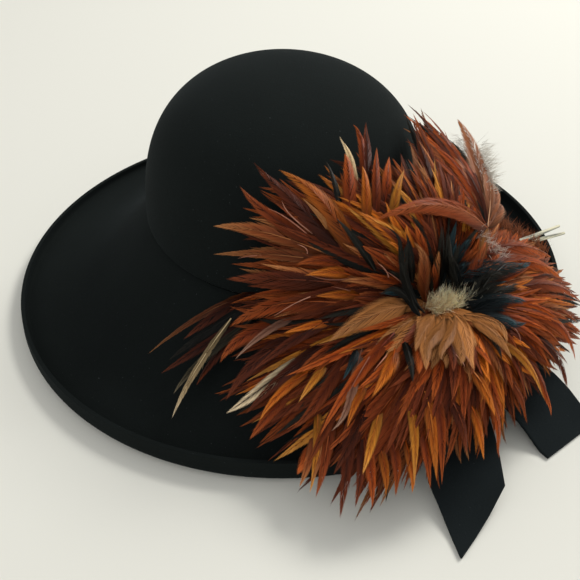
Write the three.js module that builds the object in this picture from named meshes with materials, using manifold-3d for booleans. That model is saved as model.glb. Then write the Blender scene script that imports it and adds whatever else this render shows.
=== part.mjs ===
// A wide-brimmed wool felt hat with a round crown, lying on its brim, trimmed at the wearer's
// front left with a rosette of cock hackles, two sprays, a tuft of down and two felt tails.
// Millimetres, +Z up. The wearer faces -Y. The hat is drawn about the foot of the crown's
// axis and then set so that the middle of its footprint is the origin.
import * as THREE from 'three';
import Module from 'manifold-3d';
import { mergeVertices } from 'three/addons/utils/BufferGeometryUtils.js';

const wasm = await Module();
wasm.setup();

// Felt and clearances
const FELT = 2.4; // thickness of crown and brim
const TAIL_FELT = 1.8; // thickness of the two tails
const GAP = 0.35; // between neighbouring pieces

// Crown: an oval, square-shouldered dome that leans a little towards the feathers. Its
// outline is (up / height) ^ shoulder + (out / half width) ^ side = 1
const CROWN = {
  halfWidth: 88.5, halfLength: 100.5, height: 94, baseHeight: 42.4,
  shoulder: 3.0, side: 2.15, hem: 4.5, lean: THREE.MathUtils.degToRad(3.8),
};

// Brim: an oval rim, set off centre, whose edge is turned up as a lip that stands highest
// in front. The lip rises from a fold of the given outer radius and leans in by lean
const RIM = { x: 2, y: -9.5, halfWidth: 174.5, halfLength: 183 };
const LIP = { mean: 11, swing: 2.8, front: THREE.MathUtils.degToRad(-80), fold: 5, lean: 0.1 };
const FOOT_WIDTH = 6; // flat ring that the hat stands on
const COLLAR = { run: 14, fall: 13 }; // how the brim leaves the crown
const SWEEP = 40; // how far in from the foot the brim starts to level out

// Facets
const CROWN_STEPS = 48;
const DOME_ROWS = { outside: 11, inside: 7 };
const BRIM_STEPS = 60;
const SLOPE_ROWS = [0, 0.12, 0.3, 0.5, 0.75]; // shares of the slope, closer near the crown
const FOLD_ROWS = 3;

// Rosette: the longest feather tips end on this loop, from the -X side of the crown, down
// over the front rim, round to +X and up on to the crown again
const FRINGE = [
  { x: -40, y: -98, z: 80 }, { x: -38, y: -114, z: 52 }, { x: -39, y: -142, z: 30 },
  { x: -34, y: -164, z: 24 }, { x: -21, y: -184, z: 21 }, { x: -2, y: -204, z: 18 },
  { x: 22, y: -225, z: 15 }, { x: 50, y: -219, z: 17 }, { x: 70, y: -213, z: 19 },
  { x: 89, y: -201, z: 21 }, { x: 106, y: -188, z: 22 }, { x: 125, y: -167, z: 23 },
  { x: 147, y: -145, z: 23 }, { x: 168, y: -108, z: 24 }, { x: 173, y: -70, z: 26 },
  { x: 168, y: -36, z: 30 }, { x: 148, y: -18, z: 42 }, { x: 126, y: -24, z: 66 },
  { x: 108, y: -22, z: 96 }, { x: 80, y: -18, z: 116 }, { x: 54, y: -55, z: 124 },
  { x: 33, y: -70, z: 126 }, { x: 8, y: -86, z: 121 }, { x: -14, y: -88, z: 118 },
  { x: -32, y: -95, z: 104 },
];
const HEART = new THREE.Vector3(78, -122, 54); // where the feathers spring from
const CORE = new THREE.Vector3(62, -98, 12); // inside the rosette, against crown and brim
const FACING = new THREE.Vector3(0.3, -0.6, 0.74).normalize(); // way the rosette faces
const SWELL = { height: 27, skew: 0.7 }; // the rosette's ring, highest near the heart

// Layers of locks: how many, where they start and end between heart and fringe, how far
// they are lifted near the heart, and their width and thickness
const LAYERS = [
  { count: 30, from: 0.5, to: 1.02, lift: 0, width: 20, thick: 7 },
  { count: 17, from: 0.32, to: 0.8, lift: 3, width: 21, thick: 7 },
  { count: 11, from: 0.12, to: 0.56, lift: 6, width: 18, thick: 7 },
];
const BED = { steps: 28, rings: [0.1, 0.28, 0.5, 0.7, 0.9], depth: 0.85 };

// A lock's shares of its full width along its length, and its thickness at a point of no width
const BLADE = [
  { at: 0, share: 0.6 }, { at: 0.34, share: 0.95 }, { at: 0.72, share: 0.9 }, { at: 1, share: 0.05 },
];
const THIN = 0.35;
const STRIDE = 0.02; // share of a lock over which its direction is taken

// What a lock's sides, ridge and point grow by for each millimetre of clearance, being sharp
const SHARP = { side: 3.5, ridge: 1.3, point: 2 };

// Sprays: feathers bound at one root, each row a tip, with its bow and width
const SPRAY_THICK = 4;
const UPPER_SPRAY = {
  root: { x: 108, y: -97, z: 86 },
  knob: 8,
  tips: [
    { x: 74, y: -14, z: 121, bow: 7, width: 13 },
    { x: 84, y: -25, z: 119, bow: 7, width: 14 },
    { x: 94, y: -32, z: 114, bow: 6, width: 13 },
    { x: 106, y: -29, z: 115, bow: 6, width: 13 },
    { x: 119, y: -33, z: 97, bow: 5, width: 13 },
    { x: 45, y: -119, z: 108, bow: 8, width: 14 },
  ],
};
const SIDE_SPRAY = {
  root: { x: -14, y: -112, z: 42 },
  knob: 6,
  tips: [
    { x: -74, y: -120, z: 27, bow: 5, width: 11 },
    { x: -71, y: -134, z: 24, bow: 5, width: 12 },
    { x: -63, y: -158, z: 18, bow: 7, width: 11 },
    { x: -50, y: -150, z: 21, bow: 6, width: 11 },
  ],
};

// Tuft of pale down over the rosette's middle
const TUFT = { x: 84, y: -129, z: 62, halfWidth: 15, halfDepth: 11, halfHeight: 8 };
const BARBS = { count: 7, reach: 1.45, rise: 0.7, width: 7, thick: 5 };

// Tails: felt ribbons from under the rosette, over the lip and down to the surface.
// Each row is a station: its place in plan, the height of its underside and its half width
const FRONT_TAIL = [
  { x: 84, y: -138, z: 24, half: 17 }, { x: 84.3, y: -160, z: 14.4, half: 18 },
  { x: 84.5, y: -178, z: 14.4, half: 18.3 }, { x: 84.6, y: -192, z: 12, half: 18.4 },
  { x: 84.6, y: -204.5, z: 8, half: 18.4 }, { x: 81.8, y: -217, z: 3.4, half: 11.9 },
  { x: 79.1, y: -229, z: 0.5, half: 5.8 }, { x: 76.4, y: -240, z: 0, half: 0.4 },
];
const SIDE_TAIL = [
  { x: 104, y: -113.7, z: 25, half: 18 }, { x: 117.2, y: -131.3, z: 14.4, half: 19.5 },
  { x: 123.2, y: -139.3, z: 14, half: 20 }, { x: 129.2, y: -147.3, z: 12.6, half: 20 },
  { x: 135.2, y: -155.3, z: 9, half: 20 }, { x: 140, y: -161.7, z: 4.5, half: 20 },
  { x: 144.2, y: -167.3, z: 0.4, half: 20 }, { x: 147.2, y: -171.3, z: 0, half: 20 },
];

const FELT_BLACK = { color: 0x0d1112, roughness: 0.95, metalness: 0 };
const TAIL_BLACK = { color: 0x0f1517, roughness: 0.95, metalness: 0 };
const RUST = { color: 0x8a3312, roughness: 0.6, metalness: 0 };
const MAHOGANY = { color: 0x5c2412, roughness: 0.6, metalness: 0 };
const CREAM = { color: 0xb08d63, roughness: 0.9, metalness: 0 };

const QUARTER = Math.PI / 2;
const TURN = 2 * Math.PI;
const BELOW = -30; // under everything, for the spaces that are cut away
const AXIS_CLEAR = 12; // how far the space under the brim stays off the crown's axis

// Numbers from 0 to 1 that look random and are the same each time
function scatter(seed) {
  const value = Math.sin(seed * 127.1 + 11.7) * 43758.5453;
  return value - Math.floor(value);
}

const vector = ({ x, y, z }) => new THREE.Vector3(x, y, z);

// Solids for cutting and joining
function toSolid(geometry) {
  const bare = geometry.clone();
  bare.deleteAttribute('normal');
  bare.deleteAttribute('uv');
  const merged = mergeVertices(bare, 1e-3);
  return new wasm.Manifold(new wasm.Mesh({
    numProp: 3,
    vertProperties: new Float32Array(merged.attributes.position.array),
    triVerts: new Uint32Array(merged.index.array),
  }));
}

function toGeometry(solid) {
  const { vertProperties, triVerts } = solid.getMesh();
  const geometry = new THREE.BufferGeometry();
  geometry.setAttribute('position', new THREE.BufferAttribute(vertProperties, 3));
  geometry.setIndex(new THREE.BufferAttribute(triVerts, 1));
  geometry.computeVertexNormals();
  return geometry;
}

const join = (solids) => solids.reduce((whole, solid) => whole.add(solid));

// The main body of a solid, without the crumbs or bubbles that a cut may leave
function mainBody(solid) {
  const larger = (best, next) => (next.volume() > best.volume() ? next : best);
  const rough = solid.decompose().reduce(larger);
  return toSolid(toGeometry(rough)).decompose().reduce(larger);
}

// A surface through rings of points, each ring seen anticlockwise from the next one. Each
// end is closed by a fan, unless the last ring leads back to the first
function skin(rings, endless = false) {
  const round = rings[0].length;
  const faces = [];
  const spans = endless ? rings.length : rings.length - 1;
  for (let i = 0; i < spans; i += 1) {
    const next = (i + 1) % rings.length;
    for (let j = 0; j < round; j += 1) {
      const k = (j + 1) % round;
      const [a, b, c, d] = [i * round + j, i * round + k, next * round + k, next * round + j];
      faces.push(a, b, c, a, c, d);
    }
  }
  if (!endless) {
    const last = (rings.length - 1) * round;
    for (let j = 1; j < round - 1; j += 1) {
      faces.push(0, j + 1, j, last, last + j, last + j + 1);
    }
  }
  const points = rings.flat().flatMap((point) => point.toArray());
  const geometry = new THREE.BufferGeometry();
  geometry.setAttribute('position', new THREE.Float32BufferAttribute(points, 3));
  geometry.setIndex(faces);
  return geometry;
}

// Crown

// Outline of the dome at mid width, from above the hem to the top, grown outwards by grow
function domeOutline(grow, rows) {
  const { height, shoulder, side, halfWidth } = CROWN;
  const outline = [];
  for (let i = 1; i <= rows; i += 1) {
    const angle = (i / rows) * QUARTER;
    const up = (height + grow) * Math.sin(angle) ** (2 / shoulder);
    const out = i === rows ? 0 : (halfWidth + grow) * Math.cos(angle) ** (2 / side);
    outline.push(new THREE.Vector2(out, up));
  }
  return outline;
}

// The fold of the hem, from its free edge round to the wall
function hemOutline(radius) {
  const { halfWidth, hem } = CROWN;
  return [0, 0.5, 1].map((share) => {
    const [s, c] = [Math.sin(share * QUARTER), Math.cos(share * QUARTER)];
    return new THREE.Vector2(halfWidth - hem + radius * s, hem - radius * c);
  });
}

// Turns a lathed outline into the crown's oval and sets it on the brim, leaning
function seatCrown(outline) {
  const { halfWidth, halfLength, baseHeight, lean } = CROWN;
  const geometry = new THREE.LatheGeometry(outline, CROWN_STEPS);
  geometry.rotateX(QUARTER);
  geometry.scale(1, halfLength / halfWidth, 1);
  geometry.rotateY(lean);
  geometry.translate(0, 0, baseHeight);
  return geometry;
}

// Felt dome, open below, whose lower edge is folded in as a rounded hem
function crownGeometry() {
  const outside = [...hemOutline(CROWN.hem), ...domeOutline(0, DOME_ROWS.outside)];
  const inside = [...hemOutline(CROWN.hem - FELT), ...domeOutline(-FELT, DOME_ROWS.inside)];
  return seatCrown([...inside.reverse(), ...outside]);
}

// The whole space that the crown fills and a gap round it, to keep other pieces clear
function crownSpace() {
  const wall = CROWN.halfWidth + GAP;
  return toSolid(seatCrown([
    new THREE.Vector2(0, BELOW),
    new THREE.Vector2(wall - CROWN.hem, BELOW),
    new THREE.Vector2(wall - CROWN.hem, -GAP),
    new THREE.Vector2(wall, CROWN.hem - GAP),
    ...domeOutline(GAP, DOME_ROWS.outside),
  ]));
}

// Brim

// Distance from the crown's axis to an oval about (x, y), in the direction turn
function ovalReach({ x = 0, y = 0, halfWidth, halfLength }, turn) {
  const [c, s] = [Math.cos(turn), Math.sin(turn)];
  const a = (c / halfWidth) ** 2 + (s / halfLength) ** 2;
  const b = (c * x) / halfWidth ** 2 + (s * y) / halfLength ** 2;
  const k = (x / halfWidth) ** 2 + (y / halfLength) ** 2 - 1;
  return (b + Math.sqrt(b * b - a * k)) / a;
}

// Middle of the felt on a section of the brim in the direction turn, from the crown outwards,
// as points of distance and height, each with the normal on the upper side
function brimLine(turn) {
  const { halfWidth, halfLength, hem, baseHeight, lean } = CROWN;
  const inner = ovalReach({ halfWidth: halfWidth - hem, halfLength: halfLength - hem }, turn);
  const innerHeight = baseHeight - inner * Math.cos(turn) * Math.tan(lean) - GAP - FELT / 2;
  const footEnd = ovalReach(RIM, turn) - LIP.fold;
  const footStart = footEnd - FOOT_WIDTH;
  const slope = new THREE.CubicBezierCurve(
    new THREE.Vector2(inner, innerHeight),
    new THREE.Vector2(inner + COLLAR.run, innerHeight - COLLAR.fall),
    new THREE.Vector2(footStart - SWEEP, FELT / 2),
    new THREE.Vector2(footStart, FELT / 2),
  );
  const line = SLOPE_ROWS.map((share) => {
    const way = slope.getTangent(share);
    return { at: slope.getPoint(share), up: new THREE.Vector2(-way.y, way.x) };
  });
  line.push({ at: new THREE.Vector2(footStart, FELT / 2), up: new THREE.Vector2(0, 1) });
  for (let i = 0; i <= FOLD_ROWS; i += 1) {
    const angle = (i / FOLD_ROWS) * (QUARTER + LIP.lean) - QUARTER;
    const out = new THREE.Vector2(Math.cos(angle), Math.sin(angle));
    const at = new THREE.Vector2(footEnd, LIP.fold).addScaledVector(out, LIP.fold - FELT / 2);
    line.push({ at, up: out.negate() });
  }
  const { at: foldEnd, up } = line[line.length - 1];
  const rise = LIP.mean + LIP.swing * Math.cos(turn - LIP.front) - foldEnd.y;
  const lipEnd = new THREE.Vector2(foldEnd.x - rise * Math.tan(LIP.lean), foldEnd.y + rise);
  line.push({ at: lipEnd, up });
  return line;
}

const shifted = (line, reach) => line.map(({ at, up }) => at.clone().addScaledVector(up, reach));

// Sweeps a section, worked out anew in each direction, round the crown's axis
function sweepRound(sectionAt) {
  const rings = [];
  for (let i = 0; i < BRIM_STEPS; i += 1) {
    const turn = (i / BRIM_STEPS) * TURN;
    const [c, s] = [Math.cos(turn), Math.sin(turn)];
    rings.push(sectionAt(turn).map((point) => new THREE.Vector3(point.x * c, point.x * s, point.y)));
  }
  return skin(rings, true);
}

// Felt brim: top and underside a felt's thickness apart
function brimGeometry() {
  return sweepRound((turn) => {
    const line = brimLine(turn);
    return [...shifted(line, FELT / 2), ...shifted(line, -FELT / 2).reverse()];
  });
}

// The space that the brim fills, with a gap above it and round the lip, and all below it
function brimSpace() {
  return toSolid(sweepRound((turn) => {
    const line = brimLine(turn);
    const { up } = line[line.length - 1];
    const beyond = new THREE.Vector2(up.y, -up.x).multiplyScalar(GAP);
    const top = shifted(line, FELT / 2 + GAP);
    const wall = shifted(line.slice(-FOLD_ROWS - 2), -FELT / 2 - GAP).reverse();
    return [
      ...top,
      top[top.length - 1].clone().add(beyond),
      wall[0].clone().add(beyond),
      ...wall,
      new THREE.Vector2(wall[wall.length - 1].x, BELOW),
      new THREE.Vector2(AXIS_CLEAR, BELOW),
      new THREE.Vector2(AXIS_CLEAR, top[0].y),
    ];
  }));
}

// Feathers

const fringe = new THREE.CatmullRomCurve3(FRINGE.map(vector), true);

// A point of the rosette's surface: round from 0 to 1 along the fringe, out from 0 at the
// heart to 1 at the tips
function rosettePoint(round, out, lift = 0) {
  const tip = fringe.getPointAt(((round % 1) + 1) % 1);
  const rise = SWELL.height * Math.sin(Math.PI * Math.min(1, out) ** SWELL.skew);
  return HEART.clone().lerp(tip, out).addScaledVector(FACING, rise + lift * (1 - out));
}

// One lock of feathers: a flat blade with a ridge, along a curve that ends in a point,
// grown all round by grow
function lock(pointAt, width, thick, grow = 0) {
  return toSolid(skin(BLADE.map(({ at, share }) => {
    const here = pointAt(at);
    const ahead = pointAt(Math.min(1, at + STRIDE));
    const way = ahead.sub(pointAt(Math.max(0, at - STRIDE))).normalize();
    const out = here.clone().sub(CORE).normalize();
    const across = new THREE.Vector3().crossVectors(out, way).normalize();
    const up = new THREE.Vector3().crossVectors(way, across);
    across.multiplyScalar((width * share) / 2 + SHARP.side * grow);
    up.multiplyScalar((thick * (THIN + (1 - THIN) * share)) / 2 + SHARP.ridge * grow);
    here.addScaledVector(way, at === 1 ? SHARP.point * grow : 0);
    const below = here.clone().sub(up);
    return [below.clone().add(across), here.clone().add(up), below.clone().sub(across)];
  })));
}

// The bed that the locks are fused to: the rosette's inside, down to its core
function bed() {
  const rings = BED.rings.map((out) => {
    const ring = [];
    for (let j = 0; j < BED.steps; j += 1) {
      ring.push(rosettePoint(-j / BED.steps, out));
    }
    return ring;
  });
  rings.push(rings[rings.length - 1].map((point) => point.clone().lerp(CORE, BED.depth)));
  return toSolid(skin(rings));
}

// Every lock is a little different. The first layer's tips stay close to the fringe, and the
// inner layers are more ragged
function rosetteSolid() {
  const locks = [];
  LAYERS.forEach(({ count, from, to, lift, width, thick }, layer) => {
    for (let i = 0; i < count; i += 1) {
      const seed = layer * 100 + i;
      const round = (i + 0.5 * layer + 0.5 * scatter(seed)) / count;
      const end = to * (0.93 + 0.07 * (layer + 1) * scatter(seed + 50));
      const drift = 0.03 * (scatter(seed + 70) - 0.5);
      const along = (t) => rosettePoint(round + drift * t, from + (end - from) * t, lift);
      locks.push(lock(along, width * (0.8 + 0.3 * scatter(seed + 90)), thick));
    }
  });
  return join([bed(), ...locks]);
}

// A spray: locks that bow outwards from one knob
function spraySolid({ root, knob, tips }, grow = 0) {
  const from = vector(root);
  const ball = new THREE.IcosahedronGeometry(knob + grow, 1).translate(from.x, from.y, from.z);
  const locks = tips.map((tip) => {
    const to = vector(tip);
    const middle = from.clone().lerp(to, 0.5);
    middle.addScaledVector(middle.clone().sub(CORE).normalize(), 2 * tip.bow);
    const curve = new THREE.QuadraticBezierCurve3(from, middle, to);
    return lock((t) => curve.getPoint(t), tip.width, SPRAY_THICK, grow);
  });
  return join([toSolid(ball), ...locks]);
}

// A tuft of down: a low mound with short barbs round it
function tuftSolid(grow = 0) {
  const { halfWidth, halfDepth, halfHeight } = TUFT;
  const { count, reach, rise, width, thick } = BARBS;
  const middle = vector(TUFT);
  const mound = new THREE.SphereGeometry(1, 8, 6);
  mound.scale(halfWidth + grow, halfDepth + grow, halfHeight + grow);
  mound.translate(middle.x, middle.y, middle.z);
  const barbs = [];
  for (let i = 0; i < count; i += 1) {
    const turn = ((i + 0.4 * scatter(i + 300)) / count) * TURN;
    const [x, y] = [halfWidth * Math.cos(turn), halfDepth * Math.sin(turn)];
    const tip = new THREE.Vector3(reach * x, reach * y, rise * halfHeight);
    barbs.push(lock((t) => middle.clone().addScaledVector(tip, t), width, thick, grow));
  }
  return join([toSolid(mound), ...barbs]);
}

// A felt tail: a flat strip through its stations, a felt's thickness deep
function tailSolid(stations, grow = 0) {
  return toSolid(skin(stations.map(({ x, y, z, half }, i) => {
    const before = stations[Math.max(0, i - 1)];
    const after = stations[Math.min(stations.length - 1, i + 1)];
    const way = new THREE.Vector2(after.x - before.x, after.y - before.y).normalize();
    const side = new THREE.Vector2(-way.y, way.x).multiplyScalar(half + grow);
    const middle = new THREE.Vector2(x, y);
    if (i === 0) {
      middle.addScaledVector(way, -grow);
    }
    if (i === stations.length - 1) {
      middle.addScaledVector(way, grow);
    }
    const [left, right] = [middle.clone().add(side), middle.clone().sub(side)];
    const [top, under] = [z + TAIL_FELT + grow, z - grow];
    return [
      new THREE.Vector3(left.x, left.y, top), new THREE.Vector3(right.x, right.y, top),
      new THREE.Vector3(right.x, right.y, under), new THREE.Vector3(left.x, left.y, under),
    ];
  })));
}

// The hat

function piece(name, geometry, finish) {
  const mesh = new THREE.Mesh(geometry, new THREE.MeshStandardMaterial(finish));
  mesh.name = name;
  return mesh;
}

// Each soft piece is cut clear of what it lies on and of the pieces laid over it
const feltSpace = join([crownSpace(), brimSpace()]);
const tuftSpace = tuftSolid(GAP);
const tailSpace = join([tailSolid(FRONT_TAIL, GAP), tailSolid(SIDE_TAIL, GAP)]);
const spraySpace = join([spraySolid(UPPER_SPRAY, GAP), spraySolid(SIDE_SPRAY, GAP)]);
const rosette = rosetteSolid().subtract(join([feltSpace, tuftSpace, tailSpace, spraySpace]));
const upperSpray = spraySolid(UPPER_SPRAY).subtract(join([feltSpace, tuftSpace, tailSpace]));
const sideSpray = spraySolid(SIDE_SPRAY).subtract(feltSpace);

const hat = new THREE.Group();
hat.add(
  piece('crown', crownGeometry(), FELT_BLACK),
  piece('brim', brimGeometry(), FELT_BLACK),
  piece('feather_rosette', toGeometry(mainBody(rosette)), RUST),
  piece('upper_spray', toGeometry(mainBody(upperSpray)), MAHOGANY),
  piece('side_spray', toGeometry(mainBody(sideSpray)), MAHOGANY),
  piece('centre_tuft', toGeometry(tuftSolid()), CREAM),
  piece('ribbon_tail_front', toGeometry(tailSolid(FRONT_TAIL)), TAIL_BLACK),
  piece('ribbon_tail_side', toGeometry(tailSolid(SIDE_TAIL)), TAIL_BLACK),
);

// The origin is the middle of the footprint, on the surface that the hat stands on
const extent = new THREE.Box3().setFromObject(hat);
const middle = extent.getCenter(new THREE.Vector3());
hat.position.set(-middle.x, -middle.y, -extent.min.z);

export default hat;
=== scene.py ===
import math

import bmesh
import bpy
import numpy as np
from mathutils import Matrix, Vector
from mathutils.bvhtree import BVHTree


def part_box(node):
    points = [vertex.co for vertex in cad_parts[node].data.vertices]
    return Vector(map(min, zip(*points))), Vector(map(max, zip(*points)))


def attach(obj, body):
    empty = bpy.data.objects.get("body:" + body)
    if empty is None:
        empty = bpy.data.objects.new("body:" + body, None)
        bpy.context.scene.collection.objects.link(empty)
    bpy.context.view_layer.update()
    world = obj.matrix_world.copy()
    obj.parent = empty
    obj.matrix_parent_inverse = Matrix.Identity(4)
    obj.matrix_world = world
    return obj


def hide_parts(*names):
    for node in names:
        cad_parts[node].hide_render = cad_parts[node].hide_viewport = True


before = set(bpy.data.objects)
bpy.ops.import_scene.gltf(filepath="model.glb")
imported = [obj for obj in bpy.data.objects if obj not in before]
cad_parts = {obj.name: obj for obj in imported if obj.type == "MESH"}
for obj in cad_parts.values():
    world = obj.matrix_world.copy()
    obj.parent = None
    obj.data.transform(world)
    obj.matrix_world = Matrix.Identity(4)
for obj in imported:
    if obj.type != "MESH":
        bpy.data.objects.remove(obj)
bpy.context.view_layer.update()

# The camera looks down on the hat from the front, held a little askew. Its place is given
# from the foot of the crown's axis, as the places of all the hat's pieces are.
MM = 0.001
RIM_SHIFT = (0.002, -0.0095)  # middle of the oval rim, from the crown's axis
CAMERA_PLACE = (0.002, -0.4705, 0.3415)
CAMERA_DOWN = math.radians(38.08)
CAMERA_ROLL = math.radians(-2.07)
CAMERA_LENS = 52.76  # mm, on a sensor 36 mm wide

brim_low, brim_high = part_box("brim")
crown_low, crown_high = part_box("crown")
AXIS = Vector((
    (brim_low.x + brim_high.x) / 2 - RIM_SHIFT[0],
    (crown_low.y + crown_high.y) / 2,
    0,
))


def placed(name, data):
    """A new object of data, put into the scene."""
    obj = bpy.data.objects.new(name, data)
    bpy.context.scene.collection.objects.link(obj)
    return obj


camera = placed("camera", bpy.data.cameras.new("camera"))
camera.data.lens = CAMERA_LENS
camera.data.sensor_width = 36
camera.data.clip_start = 0.01
camera.location = AXIS + Vector(CAMERA_PLACE)
pitch = Matrix.Rotation(math.pi / 2 - CAMERA_DOWN, 3, "X")
camera.rotation_euler = (pitch @ Matrix.Rotation(CAMERA_ROLL, 3, "Z")).to_euler()
bpy.context.scene.camera = camera


# Brim: one sheet of black wool felt, blocked over a form, that slopes down from the crown to
# the flat ring that it stands on. Its edge is turned up as a short lip, highest in front.
FELT = 0.0024
CROWN_HALF = (0.0885, 0.1005)
CROWN_SEAT = 0.0424  # height of the crown's hem at its middle
CROWN_LEAN = math.radians(3.8)
HEM = 0.0045  # radius of the crown's folded hem
GAP = 0.00035
RIM_HALF = (0.1745, 0.183)
LIP = {"mean": 0.011, "swing": 0.0028, "front": math.radians(-80), "fold": 0.005, "lean": 0.1}
FOOT_WIDTH = 0.006
COLLAR_RUN, COLLAR_FALL = 0.014, 0.013
SWEEP = 0.040
ROUND_STEPS = 128
SLOPE_ROWS, SLOPE_CROWDING = 15, 1.3  # the rows lie closest beside the crown
FOLD_ROWS = 5
LIP_SHARES = (0.35, 0.7, 0.93, 1.0)
FLAT = 1e-4  # what stands for no tilt at all
WELD = 1e-6
EDGE_ROUND, EDGE_ANGLE = 0.0006, math.radians(50)


def pick_up(obj):
    """Makes obj the one selected object, and the active one."""
    bpy.ops.object.select_all(action="DESELECT")
    obj.select_set(True)
    bpy.context.view_layer.objects.active = obj


def start_ring(name, half, middle, lean):
    """A ring of edges, an oval about middle that leans about Y, left open in edit mode."""
    bpy.ops.object.select_all(action="DESELECT")
    bpy.ops.mesh.primitive_circle_add(vertices=ROUND_STEPS, radius=1, fill_type="NOTHING")
    ring = bpy.context.object
    ring.name = ring.data.name = name
    bpy.ops.object.mode_set(mode="EDIT")
    bpy.ops.mesh.select_all(action="SELECT")
    bpy.ops.transform.resize(value=(half[0], half[1], 1), center_override=(0, 0, 0))
    for vertex in bmesh.from_edit_mesh(ring.data).verts:
        vertex.co.z = -vertex.co.x * math.tan(lean)
    bpy.ops.transform.translate(value=middle)
    return ring


def next_ring(last, half, middle, tilt=1.0):
    """Extrudes the selected ring into one with a new size, middle and share of its tilt."""
    bpy.ops.mesh.extrude_region_move()
    grow = (half[0] / last["half"][0], half[1] / last["half"][1], max(FLAT, tilt / last["tilt"]))
    bpy.ops.transform.resize(value=grow, center_override=last["middle"])
    bpy.ops.transform.translate(value=Vector(middle) - Vector(last["middle"]))
    return {"half": half, "middle": middle, "tilt": max(FLAT, tilt)}


def bake(obj, name, kind, **values):
    """Gives obj a modifier with its values set, and applies it."""
    modifier = obj.modifiers.new(name, kind)
    for key, value in values.items():
        setattr(modifier, key, value)
    bpy.ops.object.modifier_apply(modifier=name)


def face_outwards():
    """Turns all faces of the active mesh outwards, and leaves it in object mode."""
    bpy.ops.object.mode_set(mode="EDIT")
    bpy.ops.mesh.select_all(action="SELECT")
    bpy.ops.mesh.normals_make_consistent(inside=False)
    bpy.ops.object.mode_set(mode="OBJECT")


def finish_shell(obj):
    """Gives the sheet its thickness, smooths it and leaves it as one closed mesh."""
    bpy.ops.mesh.select_all(action="SELECT")
    bpy.ops.mesh.remove_doubles(threshold=WELD)
    face_outwards()
    pick_up(obj)
    bake(obj, "felt", "SOLIDIFY", thickness=FELT, offset=0, use_even_offset=True)
    bake(
        obj, "soft edge", "BEVEL",
        width=EDGE_ROUND, segments=2, limit_method="ANGLE", angle_limit=EDGE_ANGLE,
    )
    bake(obj, "smooth", "SUBSURF", levels=1, render_levels=1)
    face_outwards()
    bpy.ops.object.shade_smooth()


inner_half = (CROWN_HALF[0] - HEM, CROWN_HALF[1] - HEM)
foot_half = (RIM_HALF[0] - LIP["fold"] - FOOT_WIDTH, RIM_HALF[1] - LIP["fold"] - FOOT_WIDTH)
inner_height = CROWN_SEAT - GAP - FELT / 2


def slope_ring(share):
    """Half sizes, middle and share of the tilt of a ring of the brim's slope."""
    a, b, c, d = (
        (1 - share) ** 3, 3 * share * (1 - share) ** 2, 3 * share ** 2 * (1 - share), share ** 3,
    )
    half = tuple(
        (a + b) * inner + b * COLLAR_RUN + (c + d) * foot - c * SWEEP
        for inner, foot in zip(inner_half, foot_half)
    )
    height = (a + b) * inner_height - b * COLLAR_FALL + (c + d) * FELT / 2
    middle = (AXIS.x + (c + d) * RIM_SHIFT[0], AXIS.y + (c + d) * RIM_SHIFT[1], height)
    return half, middle, a + b


half, middle, tilt = slope_ring(0)
brim_felt = start_ring("brim_felt", half, middle, CROWN_LEAN)
ring = {"half": half, "middle": middle, "tilt": 1.0}
for row in range(1, SLOPE_ROWS + 1):
    half, middle, tilt = slope_ring((row / SLOPE_ROWS) ** SLOPE_CROWDING)
    ring = next_ring(ring, half, middle, tilt)
rim_middle = (AXIS.x + RIM_SHIFT[0], AXIS.y + RIM_SHIFT[1])
for row in range(FOLD_ROWS + 1):
    angle = row / FOLD_ROWS * (math.pi / 2 + LIP["lean"]) - math.pi / 2
    reach = (LIP["fold"] - FELT / 2) * math.cos(angle) - LIP["fold"]
    height = LIP["fold"] + (LIP["fold"] - FELT / 2) * math.sin(angle)
    half = (RIM_HALF[0] + reach, RIM_HALF[1] + reach)
    ring = next_ring(ring, half, (*rim_middle, height), FLAT)
fold_height = height
lip_slope = (
    LIP["swing"] * math.cos(LIP["front"]) / RIM_HALF[0],
    LIP["swing"] * math.sin(LIP["front"]) / RIM_HALF[1],
)
fold_half = half
for share in LIP_SHARES:
    rise = share * (LIP["mean"] - fold_height)
    half = tuple(side - rise * math.tan(LIP["lean"]) for side in fold_half)
    bpy.ops.mesh.extrude_region_move()
    grow = (half[0] / ring["half"][0], half[1] / ring["half"][1], 1)
    bpy.ops.transform.resize(value=grow, center_override=(*rim_middle, 0))
    for vertex in bmesh.from_edit_mesh(brim_felt.data).verts:
        if vertex.select:
            x, y = vertex.co.x - rim_middle[0], vertex.co.y - rim_middle[1]
            vertex.co.z = fold_height + rise + share * (lip_slope[0] * x + lip_slope[1] * y)
    ring = {"half": half}
finish_shell(brim_felt)


def wire(tree, *links):
    """Joins sockets of a node tree, each link from (node, socket) to (node, socket)."""
    for (source, out_name), (target, in_name) in links:
        tree.links.new(source.outputs[out_name], target.inputs[in_name])


def set_values(node, values):
    """Sets the node's properties and, by names with _ for a space, its sockets' values."""
    for name, value in values.items():
        if hasattr(node, name):
            setattr(node, name, value)
        else:
            node.inputs[name.replace("_", " ")].default_value = value


def node_of(tree, kind, **values):
    """A shader node with its values set."""
    node = tree.nodes.new(kind)
    set_values(node, values)
    return node


def ramp_of(tree, stops):
    """A colour ramp with two stops, each a place and a linear colour."""
    ramp = tree.nodes.new("ShaderNodeValToRGB")
    for stop, (place, colour) in zip(ramp.color_ramp.elements, stops):
        stop.position = place
        stop.color = (*colour, 1)
    return ramp


def group_of(name, inputs, outputs):
    """A shader group with its colour and value sockets, and the nodes at its two ends."""
    group = bpy.data.node_groups.new(name, "ShaderNodeTree")
    for way, sockets in (("INPUT", inputs), ("OUTPUT", outputs)):
        for socket in sockets:
            kind = "NodeSocketFloat" if socket == "Height" else "NodeSocketColor"
            group.interface.new_socket(name=socket, in_out=way, socket_type=kind)
    return group, node_of(group, "NodeGroupInput"), node_of(group, "NodeGroupOutput")


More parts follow.
